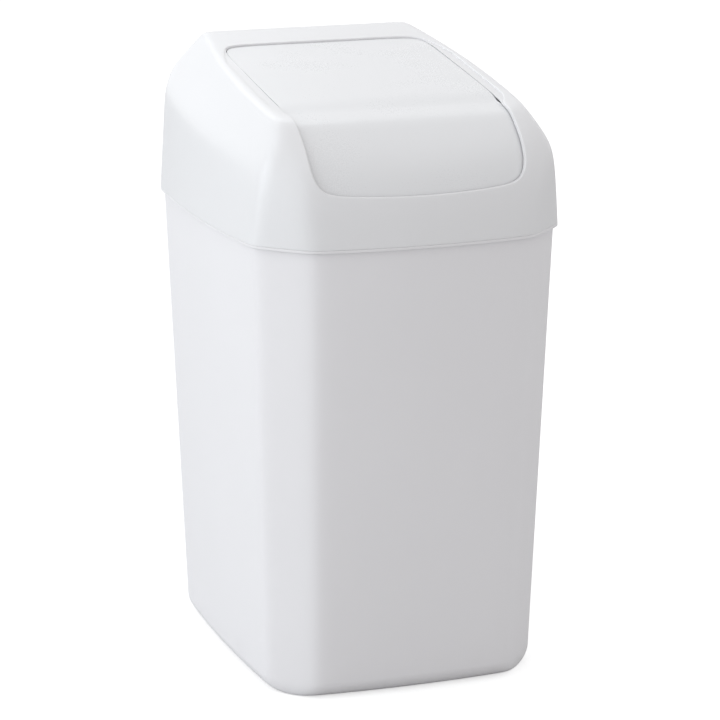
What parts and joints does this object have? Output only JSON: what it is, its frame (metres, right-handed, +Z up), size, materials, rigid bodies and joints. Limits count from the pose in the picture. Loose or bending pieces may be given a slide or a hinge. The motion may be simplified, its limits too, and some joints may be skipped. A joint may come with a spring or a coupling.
{
  "type": "countertop bin with swing lid",
  "caption": "Small white plastic waste bin: a tapered bucket with flattened corners, a lift-off hood on its rim and a bent flap that swings inwards and falls shut.",
  "frame": {"origin": "on the floor, under the middle of the bin's outline", "axes": "+Z up; -Y towards the front, where the flap bends down; +X to the right of someone who faces the bin's front, and the pivot axis runs along X"},
  "size_m": [0.1574, 0.2002, 0.2878],
  "materials": {
    "bucket_plastic": "white polypropylene with a fine satin grain",
    "hood_plastic": "white polypropylene, smooth and softly shining",
    "flap_plastic": "white polypropylene, smooth and softly shining"
  },
  "bodies": {
    "bin": {"bucket": "bucket_plastic"},
    "hood_body": {"hood": "hood_plastic"},
    "flap_body": {"swing_flap": "flap_plastic"}
  },
  "joints": [
    {"name": "hood_lift", "type": "slide", "parent": "bin", "child": "hood_body", "axis": [0, 0, 1], "range_m": [0, 0.12]},
    {"name": "flap_swing", "type": "hinge", "parent": "hood_body", "child": "flap_body", "pos_m": [0, -0.044, 0.2646], "axis": [1, 0, 0], "range_deg": [0, 70]}
  ]
}
